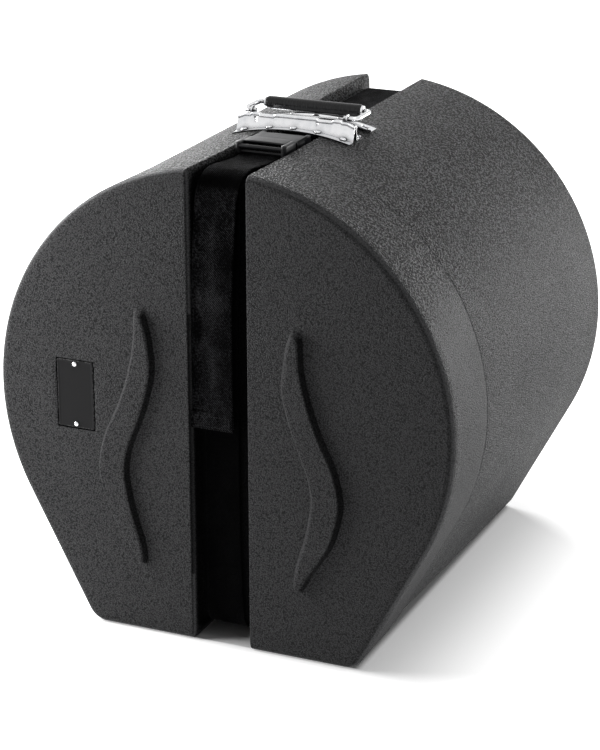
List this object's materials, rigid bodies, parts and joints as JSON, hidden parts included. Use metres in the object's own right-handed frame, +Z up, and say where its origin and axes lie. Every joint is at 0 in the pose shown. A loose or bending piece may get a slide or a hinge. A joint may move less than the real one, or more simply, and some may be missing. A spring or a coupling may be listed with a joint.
{
  "type": "drum case",
  "caption": "Round moulded hard case for one drum: D-shaped lid and base, strap channel with buckled webbing, bail handle on top, name plate and foam lining.",
  "frame": {"origin": "on the ground under the middle of the case, midway between the front and rear ribs", "axes": "+Z up, +Y from the lid to the rear face, +X to the right seen from the lid; the case lies as in the picture"},
  "size_m": [0.5698, 0.556, 0.5953],
  "materials": {
    "shell_plastic": "black polyethylene with a pebbled grain",
    "name_plate": "black lacquered sheet, bare",
    "chrome": "bright chrome plated steel",
    "grip_rubber": "smooth black rubber",
    "webbing": "black woven webbing",
    "buckle_plastic": "black moulded acetal, satin",
    "foam": "charcoal closed-cell foam, light as padding"
  },
  "bodies": {
    "base": {"base_shell": "shell_plastic", "handle_plate": "chrome", "handle_rivet_front_1": "chrome", "handle_rivet_front_2": "chrome", "handle_rivet_front_3": "chrome", "handle_rivet_front_4": "chrome", "handle_rivet_front_5": "chrome", "handle_rivet_rear_1": "chrome", "handle_rivet_rear_2": "chrome", "handle_rivet_rear_3": "chrome", "handle_rivet_rear_4": "chrome", "handle_rivet_rear_5": "chrome", "strap_rear": "webbing", "strap_in_buckle": "webbing", "buckle_frame": "buckle_plastic", "buckle_socket": "buckle_plastic", "base_foam_left": "foam", "base_foam_right": "foam", "wall_pad_right_upper": "foam", "wall_pad_right_lower": "foam", "wall_pad_left_upper": "foam", "wall_pad_left_lower": "foam", "cradle_left": "foam", "cradle_right": "foam", "strap_bottom": "webbing", "strap_top_front": "webbing", "strap_tail_top": "webbing"},
    "lid": {"lid_shell": "shell_plastic", "name_plate": "name_plate", "name_plate_rivet_lower": "chrome", "name_plate_rivet_upper": "chrome", "strap_front": "webbing", "strap_tail": "webbing", "strap_tail_fold": "webbing", "lid_foam_left": "foam", "lid_foam_right": "foam"},
    "bail": {"handle_bail": "chrome", "handle_grip": "grip_rubber"},
    "prong_left": {"buckle_prong_left": "buckle_plastic"},
    "prong_right": {"buckle_prong_right": "buckle_plastic"}
  },
  "joints": [
    {"name": "lid_slide", "type": "slide", "parent": "base", "child": "lid", "axis": [0, -1, 0], "range_m": [0, 0.12], "deforming": ["strap_top_front", "strap_tail_top", "strap_bottom"]},
    {"name": "bail_hinge", "type": "hinge", "parent": "base", "child": "bail", "pos_m": [0, -0.0384, 0.5876], "axis": [1, 0, 0], "range_deg": [0, 90]},
    {"name": "prong_left_squeeze", "type": "hinge", "parent": "base", "child": "prong_left", "pos_m": [-0.018, -0.1197, 0.5678], "axis": [0, 0, -1], "range_deg": [0, 6], "stiffness_Nm_per_rad": 0.02},
    {"name": "prong_right_squeeze", "type": "hinge", "parent": "base", "child": "prong_right", "pos_m": [0.018, -0.1197, 0.5678], "axis": [0, 0, 1], "range_deg": [0, 6], "stiffness_Nm_per_rad": 0.02}
  ],
  "couplings": [
    {"joint": "prong_right_squeeze", "follows": "prong_left_squeeze", "ratio": 1}
  ]
}
